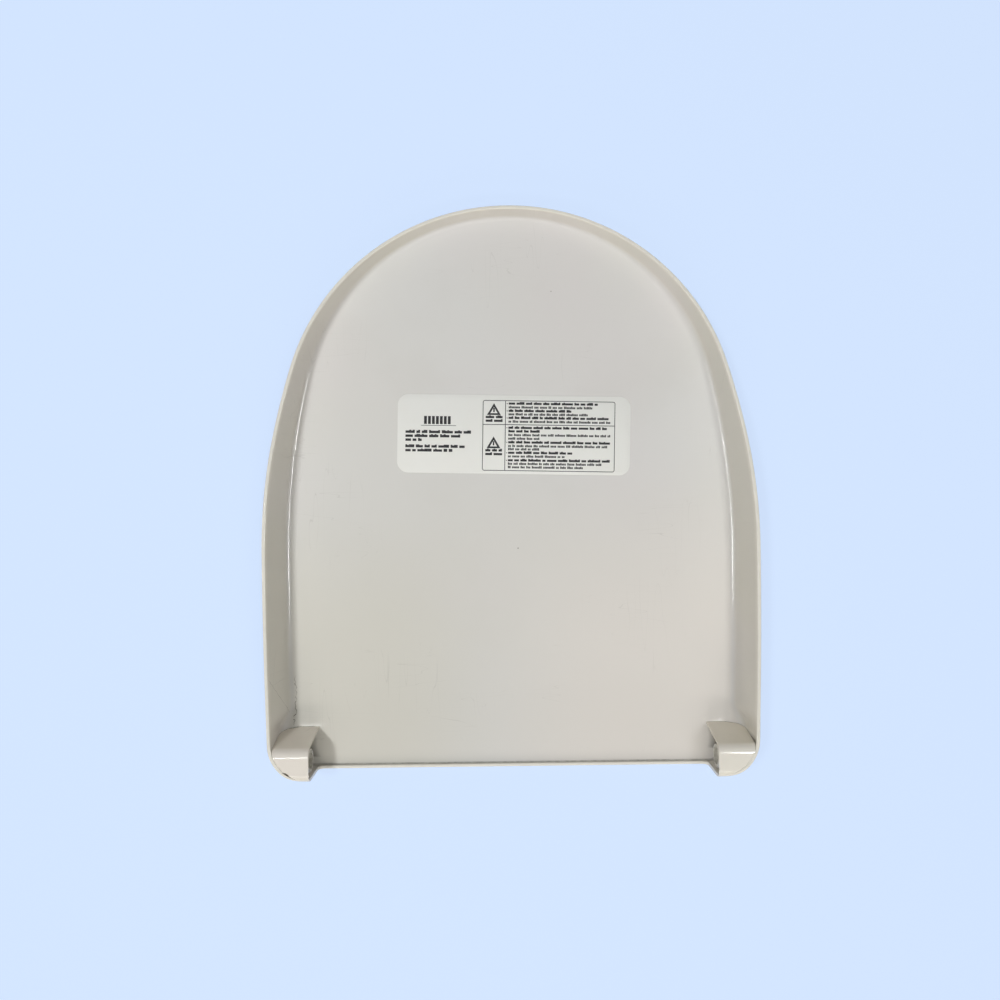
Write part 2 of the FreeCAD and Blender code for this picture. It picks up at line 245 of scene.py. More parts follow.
def rim_height(y):
    """Height of the rim: level at the back, falling to the front, rounded off along the rear edge."""
    rear_start = REAR + REAR_ROUNDING
    if y < rear_start:
        return TOP - REAR_ROUNDING + math.sqrt(max(REAR_ROUNDING ** 2 - (y - rear_start) ** 2, 0))
    if y < -RIM_BLEND:
        return TOP
    if y < RIM_BLEND:
        return TOP - RIM_FALL * (y + RIM_BLEND) ** 2 / (4 * RIM_BLEND)
    return TOP - RIM_FALL * y


def shell_column(station):
    """Section of the shell at a station, from the floor up the inside, over the rim and down the outside.

    It also returns, point by point, whether it belongs to the rim, to the inner foot and to the inside.
    """
    cap, lean_slope = station["cap"], station["lean"]

    def wall_point(height, share):
        drop = (TOP - height) * lean_slope
        inner, _ = plan_point(station, WALL + drop, CORNER_RADIUS - REAR_WALL)
        outer, _ = plan_point(station, drop, CORNER_RADIUS)
        return Vector((*inner.lerp(outer, share), height))

    def rim_point(share):
        # The rim's height and the wall's place depend on each other, so a few rounds bring them together.
        height = min(cap, TOP)
        for _ in range(4):
            height = min(cap, rim_height(wall_point(height, share).y))
        return wall_point(height, share)

    def foot(height, inset, radius, share, size):
        _, outward = plan_point(station, inset, radius)
        lean = math.atan(lean_slope)
        reach = size * math.tan((math.pi / 2 - lean) / 2)
        corner = wall_point(height, share)
        on_floor = corner - Vector((*outward, 0)) * reach
        on_wall = wall_point(height + reach * math.cos(lean), share)
        return conic(on_floor, corner, on_wall, math.cos((math.pi / 2 - lean) / 2), 8)

    inner_top, outer_top = rim_point(0), rim_point(1)
    side = RIM_ROUNDING / WALL
    inner_foot = foot(FLOOR, WALL, CORNER_RADIUS - REAR_WALL, 0, station["foot"])
    outer_foot = foot(0, 0, CORNER_RADIUS, 1, station["foot"] + FLOOR)
    bulge = 0.7
    inner_edge = conic(wall_point(inner_top.z - RIM_ROUNDING, 0), inner_top, rim_point(side), bulge, 4)
    outer_edge = conic(rim_point(1 - side), outer_top,
                       wall_point(outer_top.z - RIM_ROUNDING, 1), bulge, 4)
    inner_wall = [wall_point(height, 0)
                  for height in steps(inner_foot[-1].z, inner_edge[0].z, 8)[1:-1]]
    rim_top = [rim_point(share) for share in steps(side, 1 - side, 3)[1:-1]]
    outer_wall = [wall_point(height, 1)
                  for height in steps(outer_edge[-1].z, outer_foot[-1].z, 6)[1:-1]]
    rim = inner_edge + rim_top + outer_edge
    column = inner_foot + inner_wall + rim + outer_wall + outer_foot[::-1]
    rim_start = len(inner_foot) + len(inner_wall)
    on_rim = [float(rim_start <= index < rim_start + len(rim)) for index in range(len(column))]
    on_foot = [float(index < len(inner_foot)) for index in range(len(column))]
    inside = [float(index < rim_start) for index in range(len(column))]
    return column, on_rim, on_foot, inside


def shell_stations():
    """Stations round the right half of the plan, from the front's middle to the rear's middle."""
    stations = []

    def add(kind, place, foot, cap=math.inf, lean=0.0):
        stations.append({"kind": kind, "place": place, "foot": foot, "cap": cap, "lean": lean})

    for share in steps(0, 1, 72)[:-1]:
        angle = math.pi / 2 + (FRONT_ANGLE - math.pi / 2) * share
        add("front", angle, FOOT_FRONT + (FOOT_SIDE - FOOT_FRONT) * smooth(share) ** 2.5, lean=LEAN)
    for angle in steps(FRONT_ANGLE, 0, 20)[:-1]:
        add("shoulder", angle, FOOT_SIDE, lean=LEAN)
    for share in steps(0, 1, 48)[:-1]:
        y = WIDEST_Y + (FLANK_RADIUS - WALL) * math.sin(CORNER_ANGLE * share)
        add("flank", CORNER_ANGLE * share, flank_foot(y), lean=lean_at(y))
    for share in steps(0, 1, 36):
        across = math.cos(CORNER_ANGLE + (-math.pi / 2 - CORNER_ANGLE) * share)
        add("corner", across, corner_foot(across))
    for x in steps(CORNER_X, COVER_INNER_FACE + END_ROUNDING, 3)[1:]:
        add("rear", x, FOOT_REAR)
    for turn in steps(math.radians(30), math.radians(90), 2):
        add("rear", COVER_INNER_FACE + END_ROUNDING * (1 - math.sin(turn)), FOOT_REAR,
            TOP - END_ROUNDING * (1 - math.cos(turn)))
    # The end of the standing corner drops to the lip in one plane, and runs into it with a rounding. It is
    # a hair's breadth further in than the rounded edge above it, so that no two stations share a place.
    apart = 0.02
    end_x = COVER_INNER_FACE - LIP_END_RADIUS
    for turn in steps(math.pi / 2, 0, 7):
        add("rear", end_x + LIP_END_RADIUS * math.sin(turn) - apart, FOOT_REAR,
            LIP_TOP + LIP_END_RADIUS * (1 - math.cos(turn)))
    for x in steps(end_x, 0, 22)[1:]:
        add("rear", x, FOOT_REAR, LIP_TOP)
    return stations


def floor_faces(points, perimeter, rear_start, height):
    """Fill a floor inside its perimeter with rows that run from side to side, and add their points.

    perimeter holds the point numbers of both halves, from front to rear. Along the rear, points that lie
    closer together than least_gap start no line of their own.
    """
    least_gap, least_last_gap = 1.5, 1
    right = perimeter["right"]
    left = perimeter["left"]
    rear = left[rear_start:-1] + right[:rear_start - 1:-1]
    rear_x = [points[number].x for number in rear]
    kept = [0]
    for index in range(1, len(rear)):
        if rear_x[index] - rear_x[kept[-1]] > least_gap or index == len(rear) - 1:
            kept.append(index)
    if rear_x[kept[-1]] - rear_x[kept[-2]] < least_last_gap:
        del kept[-2]
    shares = [rear_x[index] / rear_x[-1] for index in kept]
    faces = []
    rows = []
    for index in range(1, rear_start):
        half_width = points[right[index]].x
        row = [left[index]]
        for share in shares[1:-1]:
            row.append(len(points))
            points.append(Vector((share * half_width, points[right[index]].y, height)))
        rows.append(row + [right[index]])
    for first, second in zip(rows[0], rows[0][1:]):
        faces.append((right[0], first, second))
    faces += join_loops(rows)
    last = rows[-1]
    for index, (start, end) in enumerate(zip(kept, kept[1:])):
        faces.append((last[index + 1], last[index], *rear[start:end + 1]))
    return faces


def boss_mesh(points, faces, side):
    """Add the boss that holds a sleeve: a tube along the hinge axis, closed at its outer end."""
    mouth, chamfer = 0.6, 0.25
    neck, neck_from, neck_to = BOSS_RADIUS - 0.9, 8.6, 9.4
    profile = [(SLEEVE_SEAT_RADIUS, SLEEVE_SEAT_DEPTH), (SLEEVE_SEAT_RADIUS, chamfer),
               (SLEEVE_SEAT_RADIUS + chamfer, 0), (BOSS_RADIUS - mouth, 0),
               (BOSS_RADIUS - 0.3 * mouth, 0.3 * mouth), (BOSS_RADIUS, mouth),
               (BOSS_RADIUS, neck_from), (neck, neck_to), (neck, BOSS_LENGTH)]
    count = 72
    loops = []
    for radius, along in profile:
        loop = []
        for index in range(count):
            angle = 2 * math.pi * index / count
            loop.append(len(points))
            points.append(Vector((side * (BOSS_FACE + along), AXIS_Y + radius * math.cos(angle),
                                  AXIS_Z + radius * math.sin(angle))))
        loops.append(loop)
    faces += join_loops(loops, closed_rows=True)
    faces.append(tuple(loops[0]))
    faces.append(tuple(loops[-1][::-1]))


def under_cover(point):
    """How far a point of the floor lies in the pocket under a hinge cover, in front of its boss, which is
    darkened with painted shade.

    The pocket on the right reaches further forwards.
    """
    front = COVER_FRONT - (3 if point.x > 0 else 8)
    fade_across, fade_back = 1.5, 3
    edge = COVER_INNER_FACE + 1 + 0.35 * max(0, front - 2 - point.y)
    return smooth((abs(point.x) - edge) / fade_across) * smooth((front - point.y) / fade_back)


def make_shell(material):
    """The whole tray with its walls, rim, rear lip and hinge bosses."""
    stations = shell_stations()
    points, on_rim, on_foot, inside = [], [], [], []
    right_columns, left_columns = [], []
    for index, station in enumerate(stations):
        column, rim, foot, inner = shell_column(station)
        for side, columns in ((1, right_columns), (-1, left_columns)):
            if side < 0 and index in (0, len(stations) - 1):
                columns.append(right_columns[-1])
                continue
            columns.append(list(range(len(points), len(points) + len(column))))
            points += [Vector((side * point.x, point.y, point.z)) for point in column]
            on_rim += rim
            on_foot += foot
            inside += inner
    loops = right_columns + left_columns[-2:0:-1] + [right_columns[0]]
    faces = join_loops(loops)
    rear_start = next(index for index, station in enumerate(stations) if station["kind"] == "rear") - 1
    for end, height in ((0, FLOOR), (-1, 0)):
        perimeter = {"right": [column[end] for column in right_columns],
                     "left": [column[end] for column in left_columns]}
        faces += floor_faces(points, perimeter, rear_start, height)
        inside += [float(height == FLOOR)] * (len(points) - len(inside))
    for side in (-1, 1):
        boss_mesh(points, faces, side)
    on_rim += [0.0] * (len(points) - len(on_rim))
    on_foot += [0.0] * (len(points) - len(on_foot))
    inside += [0.0] * (len(points) - len(inside))
    # Dirt and painted shade in the crease of the inner foot, towards the rear.
    foot_dark_from, foot_dark_fade = REAR + 26, 20
    foot_dirt_and_shade = [foot * smooth((foot_dark_from - point.y) / foot_dark_fade) for foot, point in zip(on_foot, points)]
    # Painted shade in the pocket under each cover, where little light reaches.
    painted_pocket_shade = [inner * under_cover(point) for inner, point in zip(inside, points)]
    shell = make_piece("lid_shell_visual", points, faces, material,
                       attributes={"rim": on_rim, "foot_dirt_and_shade": foot_dirt_and_shade, "painted_pocket_shade": painted_pocket_shade})
    weigh_normals(shell)
    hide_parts("lid_shell")
    return shell


# --- Hinge covers ---
def shell_inside_x(y, z, gap=0.0):
    """X of the shell's inner face beside the right hinge boss, foot included."""
    slope = lean_at(y)
    lean = math.atan(slope)
    height = z - FLOOR

    def foot_inwards(foot):
        if height >= foot * (1 - math.sin(lean)):
            return 0
        turn = math.acos(1 - height / foot)
        return height * slope + foot * math.tan((math.pi / 2 - lean) / 2) - foot * math.sin(turn)

    if y > CORNER_Y:
        inset = WALL + gap + (TOP - z) * slope
        face = math.sqrt((FLANK_RADIUS - inset) ** 2 - (y - WIDEST_Y) ** 2)
        return HALF_WIDTH - FLANK_RADIUS + face - foot_inwards(flank_foot(y))
    radius = CORNER_RADIUS - REAR_WALL - gap
    centre_x, _ = corner_centre_x(WALL + gap, radius)
    # The foot narrows the corner by as much as the place round it says, which a few rounds find.
    size = radius
    for _ in range(6):
        across = math.sqrt(max(1 - ((CORNER_Y - y) / size) ** 2, 0))
        size = radius - foot_inwards(corner_foot(across))
    return centre_x + size * across


def cover_path(inside):
    """Side view of a cover's face as (Y, Z), from the floor up the front and over to the rear."""
    lean = math.atan(LEAN)
    front = COVER_FRONT - inside / math.cos(lean)
    top = TOP - inside
    front_radius = COVER_FRONT_ROUNDING - inside
    rear_radius = REAR_ROUNDING - inside
    rear_centre = REAR + REAR_ROUNDING - GAP
    rear_limit = REAR + REAR_WALL + GAP
    foot = Vector((front, FLOOR))
    corner = Vector((front - (top - FLOOR) * LEAN, top))
    reach = front_radius * math.tan((math.pi / 2 - lean) / 2)
    front_end = corner + (foot - corner).normalized() * reach
    top_start = corner - Vector((reach, 0))
    path = [foot.lerp(front_end, share) for share in steps(0, 1, 10)[:-1]]
    path += conic(front_end, corner, top_start, math.cos((math.pi / 2 - lean) / 2), 8)
    path += [top_start.lerp(Vector((rear_centre, top)), share) for share in steps(0, 1, 4)[1:]]
    last_turn = math.asin((rear_centre - rear_limit) / rear_radius)
    path += [Vector((rear_centre - rear_radius * math.sin(turn),
                     TOP - REAR_ROUNDING + rear_radius * math.cos(turn)))
             for turn in steps(0, last_turn, 8)[1:]]
    return path


def cover_ring(shrink):
    """Closed section of a cover's wall, made thinner all round by shrink."""
    outer = cover_path(shrink)
    inner = cover_path(COVER_WALL - shrink)
    return outer + inner[::-1]


def make_cover(name, side, material):
    """Cover with a softened edge round its open end, running out to the shell's corner."""
    least_length = 0.5
    rings = []
    for turn in steps(0, math.pi / 2, 4):
        shrink = COVER_EDGE * (1 - math.sin(turn))
        x = COVER_INNER_FACE + COVER_EDGE * (1 - math.cos(turn))
        rings.append([Vector((x, point.x, point.y)) for point in cover_ring(shrink)])
    full = rings[-1]
    start_x = COVER_INNER_FACE + COVER_EDGE
    for share in steps(0, 1, 14)[1:]:
        ring = []
        for point in full:
            end_x = max(shell_inside_x(point.y, point.z, GAP), start_x + least_length)
            ring.append(Vector((start_x + (end_x - start_x) * share, point.y, point.z)))
        rings.append(ring)
    points = [Vector((side * point.x, point.y, point.z)) for ring in rings for point in ring]
    count = len(full)
    loops = number_loops(count, len(points))
    faces = join_loops(loops, closed_rows=True)
    for loop in (loops[0], loops[-1]):
        for index in range(count // 2 - 1):
            faces.append((loop[index], loop[index + 1], loop[-2 - index], loop[-1 - index]))
    cover = make_piece(name, points, faces, material)
    weigh_normals(cover)
    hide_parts(name.replace("_visual", ""))
    return cover


# --- Label ---
label_centre = (label_low + label_high) / 2


def on_label(across, up, height):
    """Point on the tilted label, from its centre."""
    turned = Vector((across, up)) @ Matrix.Rotation(-LABEL_TILT, 2)
    return Vector((label_centre.x + turned.x, label_centre.y + turned.y, height))


def label_loop(inset, height):
    """Outline of the tilted label with round corners, drawn in by inset, at one height."""
    half_width, half_height, _ = (label_high - label_low) / 2 - Vector((LABEL_CORNER, LABEL_CORNER, 0))
    half_height -= LABEL_TRIM
    loop = []
    radius = LABEL_CORNER - inset
    for quarter, (side_x, side_y) in enumerate(((1, 1), (-1, 1), (-1, -1), (1, -1))):
        for turn in steps(quarter * math.pi / 2, (quarter + 1) * math.pi / 2, 8):
            loop.append(on_label(side_x * half_width + radius * math.cos(turn),
                                 side_y * half_height + radius * math.sin(turn), height))
    return loop


def make_label(material):
    """Thin film with a softened edge."""
    edge = 0.1
    loops_at = [label_loop(0, FLOOR), label_loop(0, label_high.z - edge),
                label_loop(0.3 * edge, label_high.z - 0.3 * edge), label_loop(edge, label_high.z)]
    points = [point for loop in loops_at for point in loop]
    count = len(loops_at[0])
    loops = number_loops(count, len(points))
    faces = join_loops(loops, closed_rows=True)
    faces.append(tuple(loops[0][::-1]))
    faces.append(tuple(loops[-1]))
    label = make_piece("caution_label_visual", points, faces, material)
    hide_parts("caution_label")


class Print:
    """Thin raised marks on the label.

    Places are millimetres to the right and down from the upper left corner of the label's box.
    """

    def __init__(self):
        self.points = []
        self.faces = []
        self.bottom = label_high.z - 0.01
        self.top = label_high.z + 0.03

    def place(self, right, down, height):
        """Point on the tilted label, from a place in its box."""
        half = (label_high - label_low) / 2
        return on_label(right - half.x, half.y - down, height)

    def bar(self, left, upper, right, lower):
        """Flat rectangular mark."""
        corners = [(left, upper), (right, upper), (right, lower), (left, lower)]
        start = len(self.points)
        count = len(corners)
        for height in (self.bottom, self.top):
            self.points += [self.place(right, down, height) for right, down in corners]
        self.faces.append(tuple(range(start + count, start + 2 * count)))
        for index in range(count):
            after = (index + 1) % count
            self.faces.append((start + index, start + after, start + count + after,
                               start + count + index))

    def ring(self, outer, inner):
        """Closed line between two outlines that have the same number of corners."""
        start = len(self.points)
        count = len(outer)
        for outline, height in ((outer, self.bottom), (outer, self.top), (inner, self.top),
                                (inner, self.bottom)):
            self.points += [self.place(right, down, height) for right, down in outline]
        self.faces += join_loops(number_loops(count, len(self.points), start), closed_rows=True)

    def border(self, left, upper, right, lower, width, radius):
        """Thin line round the inside of a rectangle with rounded corners."""
        outlines = ([], [])
        centres = ((right - radius, upper + radius), (left + radius, upper + radius),
                   (left + radius, lower - radius), (right - radius, lower - radius))
        for quarter, (centre_x, centre_y) in enumerate(centres):
            for turn in steps(quarter * math.pi / 2, (quarter + 1) * math.pi / 2, 4):
                for outline, size in zip(outlines, (radius, radius - width)):
                    outline.append((centre_x + size * math.cos(turn), centre_y - size * math.sin(turn)))
        self.ring(*outlines)

    def words(self, left, right, baseline, size, weight, chance):
        """One line of stand-in text: words made of plain blocks, no letters."""
        pitch = size * 0.6
        word_gap = pitch * 0.9
        tall_share, short_height = 0.3, 0.78
        x = left
        while x < right - 2 * pitch:
            count = min(chance.choice((2, 3, 3, 4, 4, 5, 6, 7, 8)), int((right - x) / pitch))
            for _ in range(count):
                tall = chance.random() < tall_share
                height = size * (1.0 if tall else short_height)
                self.bar(x, baseline - height, x + pitch * weight, baseline)
                x += pitch
            x += word_gap

    def triangle(self, centre, upper, lower, half_width, width):
        """Outline of a triangle that points up, with a plain bar inside."""
        bar_width, over_base = 1.2, 2.4
        outer = [(centre, upper), (centre + half_width, lower), (centre - half_width, lower)]
        # Drawn in further at the sharp corners, so that the line is about as wide all round.
        inner = [(centre, upper + 2.1 * width), (centre + half_width - 1.8 * width, lower - width),
                 (centre - half_width + 1.8 * width, lower - width)]
        self.ring(outer, inner)
        middle = (upper + lower) / 2
        self.bar(centre - bar_width / 2, middle - 1, centre + bar_width / 2, lower - over_base)


def make_print(material):
    """Stand-in printing: a heading, a few lines at the left, and a framed table at the right.

    Sizes of lines are the height of their tallest blocks. All of it is laid out one by one.
    """
    marks = Print()
    chance = random.Random(7)

    # Heading and its underline.
    heading_left, heading_right, heading_upper, heading_lower = 21.5, 44, 18.7, 25.2
    block_count, block_width = 7, 2.3
    for left in steps(heading_left, heading_right, block_count)[:-1]:
        marks.bar(left, heading_upper, left + block_width, heading_lower)
    marks.bar(heading_left - 2.5, heading_lower + 0.9, heading_right + 3.5, heading_lower + 1.3)

    # Two groups of lines under the heading, each line from the same margin to its own right end.
    margin = 6.6
    for baseline, right in ((32.6, 60.5), (35.9, 54), (39.1, 20.5)):
        marks.words(margin, right, baseline, 2.5, 1.0, chance)
    for baseline, right in ((44.3, 56.5), (47.6, 45.5)):
        marks.words(margin, right, baseline, 2.4, 1.0, chance)

    # Frame of the table, its dividers, and the two signs with a word or two below.
    table_left, table_upper, table_right, table_lower = 69, 5.2, 176.5, 62.4
    row_y, column_x, thin = 24.6, 87.2, 0.55
    marks.border(table_left, table_upper, table_right, table_lower, thin, 1.8)
    marks.bar(table_left + thin, row_y, table_right - thin, row_y + thin)
    marks.bar(column_x, table_upper + thin, column_x + thin, row_y)
    marks.bar(column_x, row_y + thin, column_x + thin, table_lower - thin)
    sign_x = (table_left + column_x) / 2
    for upper in (7.6, 34.6):
        marks.triangle(sign_x, upper, upper + 9.6, 5.6, 1.45)
        for baseline in (upper + 12.2, upper + 15.2):
            marks.words(sign_x - 6.6, sign_x + 7.6, baseline, 2.3, 1.0, chance)

    # Lines of the two cells, as baseline, whether bold, and share of the cell's width. A bullet marks each
    # bold line that follows a plain one.
    upper_cell = [(8.6, 1, 0.86), (11.6, 0, 0.8), (14.5, 1, 0.62), (17.3, 0, 0.78),
                  (20.2, 1, 0.96), (23.2, 0, 1.0)]
    lower_cell = [(28.2, 1, 0.95), (31.1, 1, 0.3), (34.1, 0, 0.98), (37.0, 0, 0.3),
                  (40.0, 1, 1.0), (43.0, 0, 0.98), (45.6, 0, 0.3), (48.5, 1, 0.62),
                  (51.4, 0, 0.55), (54.6, 1, 0.98), (57.4, 0, 0.9), (60.2, 0, 0.75)]
    text_left, text_right = column_x + 2.8, table_right - 1.2
    bold_before = False
    for baseline, bold, share in upper_cell + lower_cell:
        right = text_left + (text_right - text_left) * share
        marks.words(text_left, right, baseline, 2.15 if bold else 1.95, 1.0 if bold else 0.85, chance)
        if bold and not bold_before:
            marks.bar(text_left - 1.5, baseline - 1.1, text_left - 0.8, baseline - 0.4)
        bold_before = bool(bold)
    make_piece("label_print", marks.points, marks.faces, material, 20)


# --- Dirt and cracks ---
def make_strip(name, path, widths, lift, material):
    """Dirt or a crack: a low ridge along a path of (point, outward direction) on a surface."""
    sunk = 0.02
    points = []
    rows = []
    for index, (point, outward) in enumerate(path):
        ahead = path[min(index + 1, len(path) - 1)][0] - path[max(index - 1, 0)][0]
        sideways = outward.cross(ahead).normalized()
        half = widths[index] / 2
        rows.append([len(points) + place for place in range(3)])
        points += [point - sideways * half - outward * sunk, point + outward * lift,
                   point + sideways * half - outward * sunk]
    make_piece(name, points, join_loops(rows), material, 80)


def seam_path(side):
    """The line where a cover's front wall meets the floor and the shell, with the direction between the two.

    It stops short of the cover's flat top.
    """
    lean = math.atan(LEAN)
    stop_below_top, level_below_top = 0.3, 1.5
    off_cover, off_floor = 0.05, 0.02
    path = [(Vector((side * x, COVER_FRONT + off_cover, FLOOR + off_floor)),
             Vector((0, math.sin(math.pi / 4), math.cos(math.pi / 4))))
            for x in steps(COVER_INNER_FACE + 1, shell_inside_x(COVER_FRONT, FLOOR, GAP) - 1, 8)]
    for place in cover_path(0)[1:]:
        if place.y > TOP - stop_below_top:
            break
        x = shell_inside_x(place.x, place.y)
        wall = Vector((-1, 0.3, LEAN)).normalized()
        cover = Vector((0, math.cos(lean), math.sin(lean)))
        if place.y > TOP - level_below_top:
            cover = Vector((0, 0, 1))
        outward = (wall + cover).normalized()
        path.append((Vector((side * x, place.x, place.y)),
                     Vector((side * outward.x, outward.y, outward.z))))
    return path


def wall_inside(y, z, side):
    """Point of a side wall's inner face and the direction that it faces."""
    return Vector((side * shell_inside_x(y, z), y, z)), Vector((-side, 0, lean_at(y))).normalized()


def uneven(chance, count, low, high):
    """Widths that wander between two limits and run out at both ends."""
    widths = []
    width = (low + high) / 2
    for index in range(count):
        width = clamp(width + chance.uniform(-0.3, 0.3) * (high - low), low, high)
        widths.append(width * min(1, (index + 1) / 3, (count - index) / 3))
    return widths


def make_wear(material, chip_material):
    """Dirt along the joints of the covers, and on the left a hairline crack, settled dirt and a chip."""
    chance = random.Random(11)
    for name, side, low, high in (("seam_dirt_left", -1, 0.25, 0.75), ("seam_dirt_right", 1, 0.15, 0.45)):
        path = seam_path(side)
        make_strip(name, path, uneven(chance, len(path), low, high), 0.12, material)
    # The crack runs down the left wall from its front end, just under the rim, to its rear end at the foot.
    crack_front, crack_rear, crack_top, crack_foot = -145, -179, TOP - 1, 7
    crack = []
    for share in steps(0, 1, 26):
        y = crack_front + (crack_rear - crack_front) * share + chance.uniform(-0.25, 0.25)
        z = crack_top + (crack_foot - crack_top) * share + chance.uniform(-0.3, 0.3)
        crack.append(wall_inside(y, z, -1))
    make_strip("wall_crack_left", crack, uneven(chance, len(crack), 0.14, 0.3), 0.03, material)

    # Dirt that has settled along the left foot, just in front of the cover.
    settled_front = -150
    settled = []
    for y in steps(settled_front, COVER_FRONT + 1, 30):
        height = 0.8 + chance.uniform(-0.35, 0.6)
        point = Vector((-shell_inside_x(y, FLOOR + height), y, FLOOR + height))
        settled.append((point, Vector((0.35, 0, 0.94))))
    make_strip("foot_dirt_left", settled, uneven(chance, len(settled), 0.2, 0.75), 0.04, material)

    # A chip out of the left corner's edge, running out into a thin crack behind the cover. It is a dark
    # raised strip: dirt, and painted shade of the chip's hollow.
    chip_start, chip_end = Vector((-177, -216.2)), Vector((-167, -222.5))
    chip = []
    for share in steps(0, 1, 12):
        place = chip_start.lerp(chip_end, share)
        chip.append((Vector((*place, rim_height(place.y) - 0.1)), Vector((0, -0.3, 0.95))))
    chip_widths = [0.5, 1.4, 2.2, 2.5, 2.3, 1.9, 1.2, 0.6, 0.4, 0.3, 0.3, 0.25, 0.1]
    make_strip("edge_chip_left", chip, chip_widths, 0.2, chip_material)


# --- Materials ---
# Numbers of a mix node's sockets: the share, the two colours, and the result.
MIX_SHARE, MIX_FIRST, MIX_SECOND, MIX_RESULT = 0, 6, 7, 2


class Shader:
    """A procedural material under construction."""

    def __init__(self, name):
        self.material = bpy.data.materials.new(name)
        self.material.use_nodes = True
        self.nodes = self.material.node_tree.nodes
        self.links = self.material.node_tree.links
        self.surface = self.nodes["Principled BSDF"]
        coordinates = self.add("ShaderNodeTexCoord")
        self.place = coordinates.outputs["Object"]
        self.normal = coordinates.outputs["Normal"]

    def add(self, kind, inputs=None, **settings):
        """New node. inputs holds sockets to link or plain values, by name or number."""
        made = self.nodes.new(kind)
        for key, setting in settings.items():
            setattr(made, key, setting)
        for key, source in (inputs or {}).items():
            if isinstance(source, bpy.types.NodeSocket):
                self.links.new(source, made.inputs[key])
            else:
                made.inputs[key].default_value = source
        return made

    def noise(self, scale, detail=3.0, roughness=0.55, stretch=(1, 1, 1), turn=0.0, shift=0.0):
        """Noise value. stretch above 1 makes its features shorter along an axis."""
        mapped = self.add("ShaderNodeMapping", {"Vector": self.place, "Scale": stretch,
                                                "Rotation": (0, 0, turn), "Location": (shift,) * 3})
        made = self.add("ShaderNodeTexNoise", {"Vector": mapped.outputs[0], "Scale": scale,
                                               "Detail": detail, "Roughness": roughness})
        return made.outputs[0]

    def math(self, operation, first, second=0.0, clamped=False):
        """Result of an operation on two values, each a socket or a number."""
        return self.add("ShaderNodeMath", {0: first, 1: second}, operation=operation,
                        use_clamp=clamped).outputs[0]

    def ramp(self, source, low, high, to_low=0.0, to_high=1.0):
        """Map a range of a value to another, smoothly and held at the ends."""
        made = self.add("ShaderNodeMapRange", {0: source, 1: low, 2: high, 3: to_low, 4: to_high},
                        interpolation_type="SMOOTHSTEP")
        return made.outputs[0]

    def mix(self, share, first, second):
        """Blend of two colours."""
        return self.add("ShaderNodeMix", {MIX_SHARE: share, MIX_FIRST: first, MIX_SECOND: second},
                        data_type="RGBA").outputs[MIX_RESULT]

    def attribute(self, name):
        """Value that make_piece stored on the mesh under this name."""
        return self.add("ShaderNodeAttribute", attribute_name=name).outputs["Fac"]

    def hairlines(self, scale, stretch, turn, width, shift):
        """Thin lines where a stretched noise passes its middle."""
        value = self.noise(scale, 1.0, 0.4, stretch, turn, shift)
        return self.ramp(self.math("ABSOLUTE", self.math("SUBTRACT", value, 0.5)), 0.0, width, 1.0, 0.0)

    def bump(self, height, strength, distance, below=None):
        """Bumped normal. distance is in metres, and below is another bump to add to."""
        inputs = {"Height": height, "Strength": strength, "Distance": distance}
        if below:
            inputs["Normal"] = below
        return self.add("ShaderNodeBump", inputs).outputs[0]

    def finish(self, colour, roughness, normal=None, **plain):
        """Connect colour, roughness and bump, and set plain values on the surface shader."""
        for name, source in (("Base Color", colour), ("Roughness", roughness), ("Normal", normal)):
            if source is not None:
                self.links.new(source, self.surface.inputs[name])
        for name, setting in plain.items():
            self.surface.inputs[name.replace("_", " ")].default_value = setting
        return self.material


def rgb(red, green, blue):
    """Opaque colour."""
    return (red, green, blue, 1.0)


def scaled(base, red, green, blue):
    """A colour with each channel multiplied."""
    return rgb(base[0] * red, base[1] * green, base[2] * blue)


def shell_marks(shader, colour, base, rim, level):
    """What only the shell has: uneven tone towards the rear, a worn rim, dirt and painted shade.

    It is yellower with age at the left and paler at the right. Dirt and painted shade lie along the rear of
    the foot, and painted shade darkens the pocket under each cover. level is 1 where a face is level.
    """
    place = shader.add("ShaderNodeSeparateXYZ", {0: shader.place}).outputs
    to_rear = shader.math("MULTIPLY", shader.ramp(place["Y"], -0.13, 0.04, 1.0, 0.0),
                          shader.ramp(level, 0.6, 0.95))
    aged = shader.math("MULTIPLY", to_rear, shader.ramp(place["X"], -0.11, 0.03, 1.0, 0.0))
    colour = shader.mix(aged, colour, scaled(base, 0.95, 0.935, 0.87))
    # Paler towards the right rear, on level faces.
    paler_right_rear = shader.math("MULTIPLY", to_rear, shader.ramp(place["X"], -0.05, 0.09))
    colour = shader.mix(paler_right_rear, colour, scaled(base, 1.07, 1.03, 0.99))
    edge_noise = shader.ramp(shader.noise(160.0, 4.0, 0.6), 0.3, 0.7, 0.75, 1.0)
    colour = shader.mix(shader.math("MULTIPLY", shader.attribute("rim"), edge_noise), colour, rim)
    # Dirt and painted shade in the crease of the foot towards the rear.
    foot_dirt_and_shade = shader.math("MULTIPLY", shader.attribute("foot_dirt_and_shade"),
                        shader.ramp(shader.noise(210.0, 4.0, 0.6), 0.25, 0.75, 0.25, 0.55))
    colour = shader.mix(foot_dirt_and_shade, colour, rgb(0.16, 0.145, 0.115))
    # Painted shade: the pocket under each cover is darkened where little light reaches.
    pocket = shader.math("MULTIPLY", shader.attribute("painted_pocket_shade"), 0.93)
    return shader.mix(pocket, colour, rgb(0.1, 0.09, 0.065))


